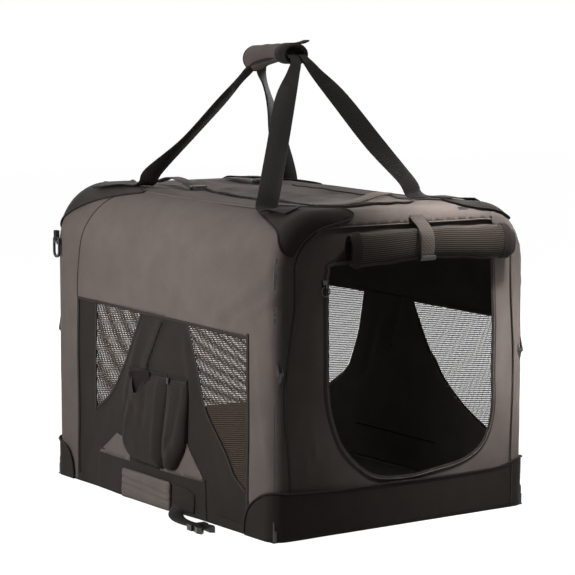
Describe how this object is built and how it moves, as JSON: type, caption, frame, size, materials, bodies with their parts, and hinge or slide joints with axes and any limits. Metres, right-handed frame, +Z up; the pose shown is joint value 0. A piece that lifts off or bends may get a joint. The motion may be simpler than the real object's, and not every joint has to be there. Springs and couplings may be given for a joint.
{
  "type": "soft folding dog crate",
  "caption": "Soft-sided folding dog crate with steel tube frame, mesh windows, rolled front door, roof hatch, side pockets and webbing carrying handle.",
  "frame": {"origin": "middle of the underside, on the floor", "axes": "+Z up; the front door faces -Y; the wall with the pockets faces -X"},
  "size_m": [0.5825, 0.7404, 0.7844],
  "materials": {
    "grey_cloth": "grey polyester oxford weave, matt",
    "dark_cloth": "dark brown-black polyester oxford weave, matt",
    "net": "nylon mesh, fine open net",
    "webbing": "black polypropylene webbing",
    "grey_webbing": "grey webbing tape",
    "steel": "powder-coated steel tube",
    "board": "cloth-covered stiff board",
    "fleece": "dark grey fleece pad",
    "acetal": "moulded black acetal",
    "zinc": "nickel-plated zinc"
  },
  "bodies": {
    "base": {"bottom_panel": "dark_cloth", "floor_board": "board", "floor_pad": "fleece", "front_rail": "steel", "rear_rail": "steel", "left_rail": "steel", "right_rail": "steel", "front_left_corner_fitting": "acetal", "front_right_corner_fitting": "acetal", "rear_left_corner_fitting": "acetal", "rear_right_corner_fitting": "acetal", "base_skirt": "dark_cloth", "left_carry_sleeve": "grey_cloth", "free_strap": "webbing", "free_strap_buckle": "acetal", "left_side_panel": "grey_cloth", "left_window_panel": "dark_cloth", "left_rear_mesh": "net", "left_front_mesh": "net", "right_side_panel": "grey_cloth", "right_window_panel": "dark_cloth", "right_rear_mesh": "net", "right_front_mesh": "net", "left_pouch": "dark_cloth", "left_zip_pocket": "dark_cloth"},
    "front_leg": {"front_left_leg": "steel", "front_right_leg": "steel", "front_wall_lower": "grey_cloth"},
    "front_arch": {"front_arch": "steel", "front_wall_upper": "grey_cloth"},
    "door_zip": {"door_zip_slider": "zinc"},
    "zip_pull": {"zip_pull_ring": "zinc"},
    "rear_leg": {"rear_left_leg": "steel", "rear_right_leg": "steel", "rear_wall_lower": "grey_cloth", "rear_mesh_lower": "net"},
    "rear_arch": {"rear_arch": "steel", "rear_wall_upper": "grey_cloth", "rear_mesh_upper": "net"},
    "roof": {"roof_panel": "grey_cloth", "left_roof_rod": "steel", "right_roof_rod": "steel", "hatch_flap": "grey_cloth", "left_roof_tie": "grey_webbing", "right_roof_tie": "grey_webbing", "corner_clip_loop": "webbing", "front_left_corner_patch": "dark_cloth", "front_right_corner_patch": "dark_cloth", "rear_left_corner_patch": "dark_cloth", "rear_right_corner_patch": "dark_cloth", "rolled_door": "net", "left_carry_loop": "webbing", "right_carry_loop": "webbing"},
    "hatch": {"hatch_hem": "dark_cloth"},
    "door_tie": {"door_tie": "grey_webbing", "door_tie_toggle": "acetal"},
    "corner_clip_body": {"corner_clip": "acetal"},
    "handle": {"handle_wrap": "grey_cloth"},
    "wrap_flap": {"wrap_flap": "dark_cloth"}
  },
  "joints": [
    {"name": "front_fold", "type": "hinge", "parent": "base", "child": "front_leg", "pos_m": [0, -0.3384, 0.02933], "axis": [-1, 0, 0], "range_deg": [0, 83], "deforming": ["left_side_panel", "left_window_panel", "left_rear_mesh", "left_front_mesh", "right_side_panel", "right_window_panel", "right_rear_mesh", "right_front_mesh", "left_pouch", "left_zip_pocket", "front_left_corner_patch", "front_right_corner_patch", "rear_left_corner_patch", "rear_right_corner_patch"]},
    {"name": "front_knee", "type": "hinge", "parent": "front_leg", "child": "front_arch", "pos_m": [0, -0.3489, 0.26902], "axis": [1, 0, 0], "range_deg": [0, 166]},
    {"name": "front_roof_hinge", "type": "hinge", "parent": "front_arch", "child": "roof", "pos_m": [0, -0.3384, 0.5087], "axis": [-1, 0, 0], "range_deg": [0, 83]},
    {"name": "rear_fold", "type": "hinge", "parent": "base", "child": "rear_leg", "pos_m": [0, 0.3384, 0.02933], "axis": [1, 0, 0], "range_deg": [0, 83]},
    {"name": "rear_knee", "type": "hinge", "parent": "rear_leg", "child": "rear_arch", "pos_m": [0, 0.3489, 0.26902], "axis": [-1, 0, 0], "range_deg": [0, 166]},
    {"name": "handle_drop", "type": "slide", "parent": "roof", "child": "handle", "axis": [0, 0, -1], "range_m": [0, 0.19], "deforming": ["left_carry_loop", "right_carry_loop"]},
    {"name": "wrap_flap_hinge", "type": "hinge", "parent": "handle", "child": "wrap_flap", "pos_m": [0, 0.022, 0.7828], "axis": [0, -1, 0], "range_deg": [0, 120]},
    {"name": "hatch_roll", "type": "slide", "parent": "roof", "child": "hatch", "axis": [0, 1, 0], "range_m": [0, 0.3], "deforming": ["hatch_flap"]},
    {"name": "door_tie_hinge", "type": "hinge", "parent": "roof", "child": "door_tie", "pos_m": [0.0185, -0.3511, 0.506], "axis": [-1, 0, 0], "range_deg": [0, 110]},
    {"name": "corner_clip_swing", "type": "hinge", "parent": "roof", "child": "corner_clip_body", "pos_m": [-0.2655, 0.335, 0.4354], "axis": [0, 1, 0], "range_deg": [0, 80]},
    {"name": "door_zip_slide", "type": "slide", "parent": "front_arch", "child": "door_zip", "axis": [0, 0, -1], "range_m": [0, 0.05]},
    {"name": "zip_pull_hinge", "type": "hinge", "parent": "door_zip", "child": "zip_pull", "pos_m": [-0.1625, -0.3533, 0.403], "axis": [-1, 0, 0], "range_deg": [0, 170]}
  ],
  "couplings": [
    {"joint": "front_knee", "follows": "front_fold", "ratio": 2},
    {"joint": "front_roof_hinge", "follows": "front_fold", "ratio": 1},
    {"joint": "rear_fold", "follows": "front_fold", "ratio": 1},
    {"joint": "rear_knee", "follows": "front_fold", "ratio": 2}
  ]
}
